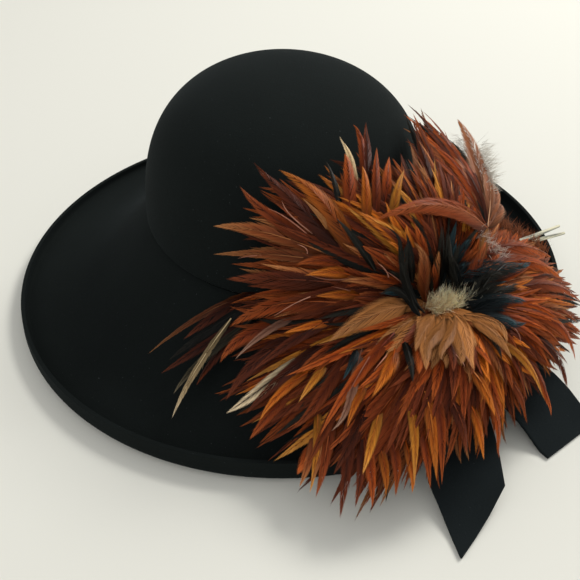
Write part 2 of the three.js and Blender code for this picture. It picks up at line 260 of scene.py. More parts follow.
def material_of(name, **values):
    """A material, its node tree and its shader with its values set."""
    finish = bpy.data.materials.new(name)
    finish.use_nodes = True
    shader = finish.node_tree.nodes["Principled BSDF"]
    set_values(shader, values)
    return finish, finish.node_tree, shader


HAIR_PART, CLOUD_PART = 0.55, 0.5
MIX_A, MIX_B, MIX_RESULT = 6, 7, 2  # a mix node's colour sockets, by their place


def make_felt_nap():
    """Shader group: the matted, hairy face of wool felt, with a little lint on it."""
    group, ends, out = group_of("felt nap", ("Dark", "Light", "Lint"), ("Color", "Height"))
    place = node_of(group, "ShaderNodeTexCoord")
    hairs = node_of(group, "ShaderNodeTexNoise", Scale=850.0, Detail=4.0, Roughness=0.75)
    clouds = node_of(group, "ShaderNodeTexNoise", Scale=26.0, Detail=3.0)
    lint = node_of(group, "ShaderNodeTexNoise", Scale=900.0, Detail=1.0)
    lint_spots = ramp_of(group, [(0.76, (0, 0, 0)), (0.84, (1, 1, 1))])
    tone = node_of(group, "ShaderNodeMath", operation="MULTIPLY_ADD")
    tone.inputs[1].default_value = HAIR_PART
    cloud_part = node_of(group, "ShaderNodeMath", operation="MULTIPLY")
    cloud_part.inputs[1].default_value = CLOUD_PART
    shade = node_of(group, "ShaderNodeMix", data_type="RGBA")
    speck = node_of(group, "ShaderNodeMix", data_type="RGBA")
    wire(
        group,
        ((place, "Object"), (hairs, "Vector")),
        ((place, "Object"), (clouds, "Vector")),
        ((place, "Object"), (lint, "Vector")),
        ((clouds, "Fac"), (cloud_part, 0)),
        ((hairs, "Fac"), (tone, 0)),
        ((cloud_part, 0), (tone, 2)),
        ((tone, 0), (shade, "Factor")),
        ((ends, "Dark"), (shade, MIX_A)),
        ((ends, "Light"), (shade, MIX_B)),
        ((lint, "Fac"), (lint_spots, "Fac")),
        ((lint_spots, "Color"), (speck, "Factor")),
        ((shade, MIX_RESULT), (speck, MIX_A)),
        ((ends, "Lint"), (speck, MIX_B)),
        ((speck, MIX_RESULT), (out, "Color")),
        ((hairs, "Fac"), (out, "Height")),
    )
    return group


felt_nap = make_felt_nap()


def felt_finish(name, dark, light, lint, sheen):
    """Wool felt: very matt, with a soft bloom where it is seen edge-on."""
    felt, tree, shader = material_of(
        name, Roughness=0.95, Specular_IOR_Level=0.06,
        Sheen_Weight=sheen, Sheen_Roughness=0.45, Sheen_Tint=(0.55, 0.70, 0.75, 1),
    )
    nap = node_of(tree, "ShaderNodeGroup", node_tree=felt_nap)
    for socket, colour in (("Dark", dark), ("Light", light), ("Lint", lint)):
        nap.inputs[socket].default_value = (*colour, 1)
    bump = node_of(tree, "ShaderNodeBump", Strength=0.5, Distance=0.0004)
    wire(
        tree,
        ((nap, "Color"), (shader, "Base Color")),
        ((nap, "Height"), (bump, "Height")),
        ((bump, "Normal"), (shader, "Normal")),
    )
    return felt


black_felt = felt_finish(
    "black felt", (0.0048, 0.0060, 0.0055), (0.0105, 0.0135, 0.0128), (0.06, 0.07, 0.07), 0.025,
)


def settle(obj, finish, slot, *nodes):
    """Gives a finished piece its material and body, and hides the CAD nodes it stands for. Its slot
    is not used.
    """
    obj.data.materials.clear()
    obj.data.materials.append(finish)
    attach(obj, "root")
    if nodes:
        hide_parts(*nodes)


settle(brim_felt, black_felt, "felt", "brim")


# Crown: one dome of the same felt, blocked round with square shoulders, leaning a little
# towards the feathers. Its lower edge is folded in as a hem and stitched to the brim inside.
CROWN_HEIGHT = 0.094
SHOULDER, SIDE = 3.0, 2.15  # exponents of the dome's outline, upwards and outwards
DOME_ROWS = 26
HEM_ROWS = 4


def crown_outline():
    """Distance from the axis and height above the hem, from the hem's edge to the top."""
    fold = HEM - FELT / 2
    for row in range(HEM_ROWS + 1):
        angle = row / HEM_ROWS * math.pi / 2
        yield CROWN_HALF[0] - HEM + fold * math.sin(angle), HEM - fold * math.cos(angle)
    for row in range(2, DOME_ROWS):
        angle = row / DOME_ROWS * math.pi / 2
        up = (CROWN_HEIGHT - FELT / 2) * math.sin(angle) ** (2 / SHOULDER)
        yield (CROWN_HALF[0] - FELT / 2) * math.cos(angle) ** (2 / SIDE), up


oval = CROWN_HALF[1] / CROWN_HALF[0]
outline = list(crown_outline())
first_out, first_up = outline[0]
ring = {"half": (first_out, first_out * oval), "middle": (0, 0, first_up), "tilt": 1.0}
crown_felt = start_ring("crown_felt", ring["half"], ring["middle"], 0)
for out, up in outline[1:]:
    ring = next_ring(ring, (out, out * oval), (0, 0, up))
bpy.ops.mesh.extrude_region_move()
bpy.ops.transform.translate(value=(0, 0, CROWN_HEIGHT - FELT / 2 - outline[-1][1]))
bpy.ops.mesh.merge(type="CENTER")
bpy.ops.mesh.select_all(action="SELECT")
lean = Matrix.Rotation(CROWN_LEAN, 4, "Y")
seat = Matrix.Translation(AXIS + Vector((0, 0, CROWN_SEAT)))
bmesh.ops.transform(
    bmesh.from_edit_mesh(crown_felt.data), matrix=seat @ lean,
    verts=bmesh.from_edit_mesh(crown_felt.data).verts,
)
finish_shell(crown_felt)
settle(crown_felt, black_felt, "felt", "crown")


# Tails: two strips of thinner black felt, cut from one piece, that come out from under the
# feathers, lie over the rim's lip and fall to the surface. One is cut to a point.
TAIL_FELT = 0.0018
TAIL_EDGE = 0.0003
TAIL_COLUMNS, TAIL_CUTS = 8, 2
# Each row is a station: its place in plan, the height of its underside and its half width
FRONT_TAIL = [
    (84, -138, 24, 17), (84.3, -160, 14.4, 18), (84.5, -178, 14.4, 18.3), (84.6, -192, 12, 18.4),
    (84.6, -204.5, 8, 18.4), (81.8, -217, 3.4, 11.9), (79.1, -229, 0.5, 5.8), (76.4, -240, 0, 0.4),
]
SIDE_TAIL = [
    (104, -113.7, 25, 18), (117.2, -131.3, 14.4, 19.5), (123.2, -139.3, 14, 20),
    (129.2, -147.3, 12.6, 20), (135.2, -155.3, 9, 20), (140, -161.7, 4.5, 20),
    (144.2, -167.3, 0.4, 20), (147.2, -171.3, 0, 20),
]


def tail(name, stations):
    """A strip of felt through its stations, with its true length along them."""
    rows = len(stations)
    bpy.ops.object.select_all(action="DESELECT")
    bpy.ops.mesh.primitive_grid_add(x_subdivisions=TAIL_COLUMNS, y_subdivisions=rows - 1, size=2)
    strip = bpy.context.object
    strip.name = strip.data.name = name
    points = np.array(stations, float) * MM
    ahead = np.gradient(points[:, :2], axis=0)
    ahead /= np.linalg.norm(ahead, axis=1)[:, None]
    for vertex in strip.data.vertices:
        row = round((vertex.co.y + 1) / 2 * (rows - 1))
        x, y, z, half = points[row]
        side = vertex.co.x * half
        vertex.co = (
            AXIS.x + x + ahead[row][1] * side,
            AXIS.y + y - ahead[row][0] * side,
            z + TAIL_FELT / 2,
        )
    bpy.ops.object.mode_set(mode="EDIT")
    bpy.ops.mesh.select_all(action="SELECT")
    bpy.ops.mesh.subdivide(number_cuts=TAIL_CUTS, smoothness=0.6)
    face_outwards()
    pick_up(strip)
    bake(strip, "felt", "SOLIDIFY", thickness=TAIL_FELT, offset=0)
    bake(strip, "soft edge", "BEVEL", width=TAIL_EDGE, segments=2, limit_method="ANGLE")
    bpy.ops.object.shade_smooth_by_angle(angle=math.radians(40))
    steps = np.linalg.norm(np.diff(points[:, :3], axis=0), axis=1)
    widths = points[:-1, 3] + points[1:, 3]
    return strip, 2 * points[:, 3].max(), steps.sum(), (steps * widths).sum()


tail_felt = felt_finish(
    "tail felt", (0.0070, 0.0092, 0.0098), (0.0135, 0.0175, 0.0185), (0.06, 0.07, 0.07), 0.03,
)
for name, stations, node in (
    ("front_tail", FRONT_TAIL, "ribbon_tail_front"),
    ("side_tail", SIDE_TAIL, "ribbon_tail_side"),
):
    strip, width, length, area = tail(name, stations)
    settle(strip, tail_felt, "tail_felt", node)


# Hackles: the long, narrow neck feathers of a cock, rust, orange and mahogany. They are bound
# in a rosette that is sewn to the front of the hat and bends over the crown and brim.
FRINGE = [
    (-40, -98, 80), (-38, -114, 52), (-39, -142, 30), (-34, -164, 24), (-21, -184, 21),
    (-2, -204, 18), (22, -225, 15), (50, -219, 17), (70, -213, 19), (89, -201, 21),
    (106, -188, 22), (125, -167, 23), (147, -145, 23), (168, -108, 24), (173, -70, 26),
    (168, -36, 30), (148, -18, 42), (126, -24, 66), (108, -22, 96), (80, -18, 116),
    (54, -55, 124), (33, -70, 126), (8, -86, 121), (-14, -88, 118), (-32, -95, 104),
]
HEART = np.array((78, -122, 54)) * MM
CORE = np.array((62, -98, 12)) * MM
FACING = np.array((0.3, -0.6, 0.74)) / np.linalg.norm((0.3, -0.6, 0.74))
SWELL, SWELL_SKEW = 0.027, 0.7
CLEAR = 0.0016  # least distance of a feather's shaft from the felt
LINE_POINTS = 9
FRINGE_STEPS = 24


def fringe_table():
    """The loop through the tips, as points and their shares of its length."""
    tips = np.array(FRINGE) * MM
    count = len(tips)
    steps = np.arange(FRINGE_STEPS)[:, None] / FRINGE_STEPS
    loop = []
    for i in range(count):
        before, here, there, after = (tips[(i + k) % count] for k in (-1, 0, 1, 2))
        a, b, c = (
            np.linalg.norm(q - p) ** 0.5 for p, q in ((before, here), (here, there), (there, after))
        )
        leave = ((here - before) / a - (there - before) / (a + b) + (there - here) / b) * b
        arrive = ((there - here) / b - (after - here) / (b + c) + (after - there) / c) * b
        loop.append(
            (2 * steps ** 3 - 3 * steps ** 2 + 1) * here
            + (steps ** 3 - 2 * steps ** 2 + steps) * leave
            + (3 * steps ** 2 - 2 * steps ** 3) * there
            + (steps ** 3 - steps ** 2) * arrive
        )
    points = np.concatenate([*loop, tips[:1]])
    run = np.concatenate([[0], np.cumsum(np.linalg.norm(np.diff(points, axis=0), axis=1))])
    return points, run / run[-1]


fringe_points, fringe_shares = fringe_table()


def rosette_point(turn, out):
    """A point of the rosette's face: turn along the fringe, out from the heart to the tips."""
    turn = np.asarray(turn) % 1
    tip = np.stack([np.interp(turn, fringe_shares, fringe_points[:, k]) for k in range(3)], -1)
    rise = SWELL * np.sin(np.pi * np.minimum(1, np.maximum(0, out)) ** SWELL_SKEW)
    return HEART + (tip - HEART) * out[..., None] + FACING * rise[..., None]


depsgraph = bpy.context.evaluated_depsgraph_get()
felt_walls = [BVHTree.FromObject(piece, depsgraph) for piece in (brim_felt, crown_felt)]


def off_the_felt(line):
    """Moves the points of a shaft out of the crown and brim, and clear of them."""
    moved = line.copy()
    for i, point in enumerate(line):
        place = AXIS + Vector(point)
        for wall in felt_walls:
            near, normal, _, distance = wall.find_nearest(place)
            height = (place - near).dot(normal)
            if height < CLEAR:
                place = near + normal * CLEAR
        moved[i] = np.array(place - AXIS)
    return moved


# Colours of a feather, in thousandths: along its shaft, over its vane, at its edges and at its tip.
# The pale pink-white glint row is no feather's colour but a painted highlight.
FEATHER_COLOURS = {
    "rust": ((110, 16, 4), (280, 46, 7), (310, 70, 14), (360, 85, 18)),
    "russet": ((70, 11, 3), (180, 31, 7), (210, 48, 12), (260, 64, 17)),
    "mahogany": ((36, 8, 4), (92, 17, 6), (125, 27, 10), (170, 40, 14)),
    "orange": ((260, 48, 5), (500, 115, 9), (440, 130, 18), (540, 170, 26)),
    "amber": ((280, 80, 10), (520, 180, 16), (440, 180, 34), (560, 250, 55)),
    "brown": ((115, 24, 8), (230, 53, 14), (280, 100, 32), (360, 150, 52)),
    "fawn": ((140, 45, 18), (300, 105, 45), (420, 220, 120), (360, 130, 50)),
    "tan": ((360, 148, 50), (340, 130, 35), (350, 142, 45), (370, 165, 60)),
    "painted_glint": ((300, 110, 65), (400, 170, 110), (440, 200, 130), (460, 220, 150)),
    "rose": ((120, 45, 26), (250, 105, 62), (320, 160, 100), (460, 280, 190)),
    "scarlet": ((310, 92, 38), (235, 46, 13), (290, 66, 20), (370, 88, 24)),
    "cream": ((340, 220, 100), (620, 430, 210), (660, 490, 270), (740, 600, 390)),
    "ivory": ((15, 10, 7), (780, 600, 360), (800, 630, 400), (720, 560, 360)),
    "olive": ((30, 24, 14), (60, 48, 26), (140, 115, 65), (220, 180, 110)),
    "black": ((16, 16, 13), (9, 9, 7), (15, 14, 11), (20, 17, 12)),
    # The teal tip is painted sheen: the blue-green shine of a black feather put into its colour.
    "teal": ((7, 9, 10), (9, 13, 14), (13, 21, 22), (30, 70, 80)),
}
# Half width of a hackle along its length, where its barbs end
HACKLE_SHAPE = ((0, 0.12, 0.30, 0.55, 0.75, 0.90, 1), (0.35, 0.72, 1.0, 0.90, 0.58, 0.26, 0.02))
SHORTEST_BARB = 0.0055
THINNEST_BARB = 0.00014
BARB_BEND = 0.48  # share of a barb's length at which it bends
BEND_OUT, BEND_UP = 0.64, 0.48  # how far it has come there, of its reach and its lift
BARB_ROOT = 0.7  # width at its root, of its width at the bend
BARB_COVER = 1.15  # how much wider the barbs are than the room they have
SHAFT_HALF = (0.00036, 0.00010)  # half width of a shaft at its root and at its tip
SHAFT_LIFT = 0.0002


class Plume:
    """The barbs and shafts of one piece, gathered as arrays and then made one mesh."""

    def __init__(self, seed):
        self.random = np.random.default_rng(seed)
        self.points, self.faces, self.colours, self.uvs = [], [], [], []
        self.count = 0

    def strips(self, corners, colours, uvs):
        """Adds strips of two quads and a point: corners is strips x 5 x 3."""
        strips = len(corners)
        first = self.count + 5 * np.arange(strips)[:, None]
        for pattern in ((0, 1, 3, 2), (2, 3, 4)):
            self.faces.append((first + np.array(pattern)).tolist())
        self.points.append(corners.reshape(-1, 3))
        self.colours.append(colours.reshape(-1, 3))
        self.uvs.append(uvs.reshape(-1, 2))
        self.count += 5 * strips

    def mesh(self, name):
        """One mesh object with a colour and a map of the barbs for its material."""
        data = bpy.data.meshes.new(name)
        points = np.concatenate(self.points) + np.array(AXIS)
        faces = [face for batch in self.faces for face in batch]
        data.from_pydata(points.tolist(), [], faces)
        colouring = data.color_attributes.new("colouring", "FLOAT_COLOR", "POINT")
        rgba = np.concatenate([np.concatenate(self.colours), np.ones((self.count, 1))], axis=1)
        colouring.data.foreach_set("color", rgba.astype(np.float32).ravel())
        layer = data.uv_layers.new(name="barbs")
        loops = np.zeros(len(data.loops), np.int32)
        data.loops.foreach_get("vertex_index", loops)
        layer.data.foreach_set("uv", np.concatenate(self.uvs)[loops].astype(np.float32).ravel())
        data.shade_smooth()
        data.update()
        return placed(name, data)


def unit(rows):
    return rows / np.maximum(1e-12, np.linalg.norm(rows, axis=-1, keepdims=True))


def turned(side, up, angle):
    """Turns the pair of directions about the shaft by angle."""
    c, s = np.cos(angle)[..., None], np.sin(angle)[..., None]
    return side * c + up * s, up * c - side * s


def add_feather(plume, line, outward, width, colouring, barbs=36, roll=0.0, loose=0.08,
                droop=0.32, slant=15.0, shade=1.0, root_shade_run=0.3, shape=HACKLE_SHAPE):
    """One feather along line: two rows of fine barbs that sweep forward from its shaft."""
    rng = plume.random
    ways = unit(np.gradient(line, axis=0))
    up = unit(outward - ways * (outward * ways).sum(1, keepdims=True))
    side, up = turned(np.cross(ways, up), up, np.full(len(line), roll))
    length = np.linalg.norm(np.diff(line, axis=0), axis=1).sum()
    knots = np.linspace(0, 1, len(line))

    def at(values, shares):
        inside = np.clip(shares, 0, 1)
        return np.stack([np.interp(inside, knots, values[:, k]) for k in range(3)], -1)

    colours = np.array(FEATHER_COLOURS[colouring]) / 1000 * shade * np.clip(1 + 0.2 * rng.standard_normal(), 0.6, 1.45)
    centre, vane, fringe, tip = np.clip(colours, 0.002, 1)
    for hand in (-1, 1):
        ends = 0.05 + 0.95 * (np.arange(barbs) + rng.uniform(0.2, 0.8, barbs)) / barbs
        even = 0.5 * width * np.interp(ends, *shape) * rng.uniform(0.85, 1.1)
        reach = even * (1 + loose * rng.standard_normal(barbs)).clip(0.5, 1.5)
        parting = np.convolve(rng.standard_normal(barbs + 4), np.ones(5) / 5, "valid")
        angle = np.radians(slant * np.interp(ends, (0, 0.4, 1), (1.5, 1.0, 0.8)))
        angle = angle * (1 + 2.2 * loose * parting).clip(0.55, 1.6)
        run = np.maximum(even / np.tan(angle), SHORTEST_BARB)
        angle = np.arctan2(even, run)
        starts = np.maximum(0, ends - run / length)
        bends = starts + BARB_BEND * (ends - starts)
        lift = 0.5 * loose * rng.standard_normal(barbs) - droop
        root = at(line, starts)
        bend = at(line, bends) + at(side, bends) * (BEND_OUT * even * hand)[:, None]
        bend = bend + at(up, bends) * (BEND_UP * lift * even)[:, None]
        end = at(line, ends) + at(side, ends) * (reach * hand)[:, None]
        end = end + at(up, ends) * (lift * reach)[:, None]
        shingle = at(up, bends) * ((0.06 + 0.06 * rng.standard_normal(barbs)) * hand)[:, None]
        barb, along = unit(end - root), at(ways, bends)
        across = hand * unit(along - barb * (along * barb).sum(1, keepdims=True))
        across = unit(across + shingle)
        thick = np.maximum(BARB_COVER * length / barbs * np.sin(angle), THINNEST_BARB)[:, None]
        corners = np.stack([
            root - across * thick * BARB_ROOT, root + across * thick * BARB_ROOT,
            bend - across * thick, bend + across * thick, end,
        ], axis=1)
        if hand < 0:
            corners = corners[:, [1, 0, 3, 2, 4]]
        tone_and_root_shade = (1 + 0.09 * rng.standard_normal(barbs)).clip(0.6, 1.5)
        # Painted shade: the barbs darken towards the feather's root, where it lies under the feathers
        # over it; the random tone of each barb is its own.
        tone_and_root_shade = tone_and_root_shade * np.interp(bends, (0, root_shade_run, 2 * root_shade_run, 1), (0.10, 0.50, 0.95, 1.1))
        far = np.interp(ends, (0, 0.75, 1), (0, 0.1, 1))[:, None]
        tints = np.stack([
            (part * (1 - far) + tip * far) * tone_and_root_shade[:, None]
            for part in (centre, centre, vane, vane, fringe)
        ], axis=1)
        number = rng.random(barbs) * 40
        uvs = np.stack([
            np.stack([number + over, np.full(barbs, along)], -1)
            for over, along in ((0, 0), (1, 0), (0, 0.5), (1, 0.5), (0.5, 1))
        ], axis=1)
        plume.strips(corners, tints, uvs)
    shares = np.linspace(0, 0.96, 7)
    shaft = at(line, shares) + at(up, shares) * SHAFT_LIFT
    wing = at(side, shares) * np.interp(shares, (0, 1), SHAFT_HALF)[:, None]
    quill = (centre if rng.random() < 0.75 else fringe) * np.ones((1, 5, 1))
    for i in (0, 2, 4):
        corners = np.stack([
            shaft[i] - wing[i], shaft[i] + wing[i],
            shaft[i + 1] - wing[i + 1], shaft[i + 1] + wing[i + 1], shaft[i + 2],
        ])[None]
        plume.strips(corners, quill, np.zeros((1, 5, 2)))


NEAR_OUT, NEAR_TURN = 0.01, 0.004  # steps that show which way the rosette's face looks
FACE_UP = 0.35  # how much a feather turns towards the rosette's front


def rosette_line(turns, outs, lifts):
    """A shaft on the rosette: its points and outward directions, from root to tip."""
    line = rosette_point(turns, outs) + FACING * lifts[:, None]
    line = off_the_felt(line)
    along_out = rosette_point(turns, outs + NEAR_OUT) - rosette_point(turns, outs - NEAR_OUT)
    along_turn = rosette_point(turns + NEAR_TURN, outs) - rosette_point(turns - NEAR_TURN, outs)
    outward = unit(np.cross(along_turn, along_out))
    outward *= np.sign((outward * (line - CORE)).sum(1, keepdims=True))
    return line, unit(outward + FACE_UP * FACING)


def make_streaks():
    """Shader group: fine lines along each barb, for colour and height."""
    group, ends, out = group_of("barb streaks", ("Colouring",), ("Color", "Height"))
    barbs = node_of(group, "ShaderNodeUVMap", uv_map="barbs")
    stretch = node_of(group, "ShaderNodeMapping", Scale=(3.2, 0.7, 1))
    lines = node_of(group, "ShaderNodeTexNoise", Scale=1.0, Detail=2.0)
    value = node_of(
        group, "ShaderNodeMapRange", From_Min=0.3, From_Max=0.7, To_Min=0.70, To_Max=1.28,
    )
    tint = node_of(group, "ShaderNodeVectorMath", operation="MULTIPLY")
    wire(
        group,
        ((barbs, "UV"), (stretch, "Vector")),
        ((stretch, "Vector"), (lines, "Vector")),
        ((lines, "Fac"), (value, "Value")),
        ((ends, "Colouring"), (tint, 0)),
        ((value, "Result"), (tint, 1)),
        ((tint, "Vector"), (out, "Color")),
        ((lines, "Fac"), (out, "Height")),
    )
    return group


barb_streaks = make_streaks()


def feather_finish(name, roughness, specular):
    """Feather: barbs in their vertex colours, which carry painted root shade and painted glints, with
    a silky shine along them.
    """
    finish, tree, shader = material_of(name, Roughness=roughness, Specular_IOR_Level=specular)
    colouring = node_of(tree, "ShaderNodeVertexColor", layer_name="colouring")
    streaks = node_of(tree, "ShaderNodeGroup", node_tree=barb_streaks)
    bump = node_of(tree, "ShaderNodeBump", Strength=0.25, Distance=0.0002)
    wire(
        tree,
        ((colouring, "Color"), (streaks, "Colouring")),
        ((streaks, "Color"), (shader, "Base Color")),
        ((streaks, "Height"), (bump, "Height")),
        ((bump, "Normal"), (shader, "Normal")),
    )
    return finish


hackle_satin = feather_finish("satin hackle", 0.42, 0.05)
hackle_gloss = feather_finish("glossy hackle", 0.36, 0.08)

# Layers of the rosette, the lowest first: how many feathers, between which shares of the way
# out their roots and tips lie, their width and how far they stand off in millimetres, how much
# they stray and how light they are; the lower layers are darker and the upper lighter, as
# painted shade under the layers above them and painted light on the top ones
LAYERS = [
    {"name": "fringe_hackles", "count": 200, "roots": (0.38, 0.50), "tips": (0.90, 1.04),
     "width": 7.5, "stand": (-1.0, 1.0), "stray": 0.007, "shade": 0.62},
    {"name": "outer_hackles", "count": 165, "roots": (0.25, 0.42), "tips": (0.72, 1.00),
     "width": 8.0, "stand": (0.0, 2.5), "stray": 0.009, "shade": 0.85},
    {"name": "middle_hackles", "count": 130, "roots": (0.14, 0.30), "tips": (0.52, 0.92),
     "width": 7.8, "stand": (0.5, 3.5), "stray": 0.011, "shade": 1.0},
    {"name": "sweep_hackles", "count": 95, "roots": (0.10, 0.26), "tips": (0.42, 0.94),
     "width": 6.5, "stand": (1.5, 5.0), "stray": 0.013, "shade": 1.15},
    {"name": "heart_hackles", "count": 60, "roots": (0.03, 0.12), "tips": (0.22, 0.46),
     "width": 9.0, "stand": (1.0, 3.0), "stray": 0.012, "shade": 1.0},
]
# How far the tips reach at each turn: they are shorter on the crown and beside the upper spray
REACH = (
    (0, 0.08, 0.10, 0.53, 0.57, 0.61, 0.64, 0.68, 0.72, 0.76, 0.79, 0.815, 0.85, 0.87, 1),
    (0.92, 0.92, 1, 1, 0.87, 0.82, 0.72, 0.72, 0.90, 1.0, 0.97, 0.80, 0.80, 0.92, 0.92),
)
# How many of the feathers have which dye, up to a share of the turn round the rosette
LOW_DYES = dict(mahogany=6, russet=5, brown=3, rust=3, black=1)
PALETTES = [
    (0.06, LOW_DYES),
    (0.22, dict(mahogany=7, russet=5, rust=3, orange=1, amber=1, black=1)),
    (0.42, dict(rust=6, russet=5, mahogany=5, orange=2, brown=2, black=2)),
    (0.70, dict(rust=9, russet=4, orange=2, brown=2, black=1)),
    (0.84, dict(russet=4, brown=4, rust=3, mahogany=3, amber=1, black=2)),
    (0.95, dict(rust=6, orange=5, mahogany=4, russet=3, amber=1, black=1)),
    (1.00, LOW_DYES),
]
HEART_PALETTES = [
    (0.04, dict(black=4, teal=1, brown=1)),
    (0.40, dict(tan=6, brown=1, russet=1)),
    (0.78, dict(black=4, teal=3)),
    (1.00, dict(black=3, brown=3, tan=1, russet=1)),
]
ROOT_SINK = 3.0  # how deep the roots lie, in millimetres

share = np.linspace(0, 1, LINE_POINTS)
for number, layer in enumerate(LAYERS):
    plume = Plume(seed=200 + number)
    rng = plume.random
    palettes = HEART_PALETTES if layer["name"] == "heart_hackles" else PALETTES
    for i in range(layer["count"]):
        turn = (i + 0.8 * rng.random()) / layer["count"]
        root_out, tip_out = rng.uniform(*layer["roots"]), rng.uniform(*layer["tips"])
        tip_out *= np.interp(turn, *REACH)
        outs = root_out + (tip_out - root_out) * share
        swing = rng.normal(0, layer["stray"], 2)
        turns = turn + swing[0] * (share - 0.5) + swing[1] * (share ** 2 - 0.3)
        stand = rng.uniform(*layer["stand"])
        lifts = (stand * share ** 0.7 - ROOT_SINK * (1 - share) ** 1.5) * MM
        line, outward = rosette_line(turns, outs, lifts)
        counts = next(counts for limit, counts in palettes if turn <= limit)
        dyes = [colouring for colouring, count in counts.items() for _ in range(count)]
        colouring = dyes[rng.integers(len(dyes))]
        add_feather(
            plume, line, outward, layer["width"] * MM * rng.uniform(0.65, 1.15), colouring,
            roll=rng.normal(0, 0.26), loose=rng.uniform(0.03, 0.14), shade=layer["shade"],
            root_shade_run=0.12 if colouring == "tan" else 0.3,
        )
    piece = plume.mesh(layer["name"])
    settle(piece, hackle_satin, "hackle_rust")
    if number == 0:
        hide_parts("feather_rosette")


# Rosette bed: the roots of all the feathers, a downy pad sewn to a round of felt that the
# fringe hides. Its near-black colour is partly the roots' own and partly painted shade for the
# deep gaps between the feathers. It closes the rosette behind the feathers.
BED_TURNS, BED_ROWS = 96, 12
BED_REACH = 0.74
BED_DEPTH = 0.0045
BED_FELT = 0.0012
bed_outs = BED_REACH * np.arange(1, BED_ROWS + 1) / BED_ROWS
turns, outs = np.meshgrid(np.arange(BED_TURNS) / BED_TURNS, bed_outs, indexing="ij")
outs = outs * np.interp(turns, *REACH)
bed_points = np.concatenate([rosette_point(turns.ravel(), outs.ravel()), HEART[None]])
bed_points = off_the_felt(bed_points - FACING * BED_DEPTH)
faces = []
for i in range(BED_TURNS):
    here, there = i * BED_ROWS, (i + 1) % BED_TURNS * BED_ROWS
    faces.append((len(bed_points) - 1, here, there))
    for j in range(BED_ROWS - 1):
        faces.append((here + j, here + j + 1, there + j + 1, there + j))
bed_data = bpy.data.meshes.new("rosette_bed")
bed_data.from_pydata((bed_points + np.array(AXIS)).tolist(), [], faces)
rosette_bed = placed("rosette_bed", bed_data)
pick_up(rosette_bed)
bake(rosette_bed, "felt", "SOLIDIFY", thickness=BED_FELT, offset=0)
face_outwards()
bpy.ops.object.shade_smooth_by_angle(angle=math.radians(60))
# Painted shade: the near-black of this felt stands for the shadow in the gaps between the feathers.
root_down_and_gap_shade = felt_finish(
    "root down and gap shade", (0.010, 0.004, 0.002), (0.035, 0.012, 0.006), (0.06, 0.03, 0.015), 0.05,
)
settle(rosette_bed, root_down_and_gap_shade, "hackle_rust")
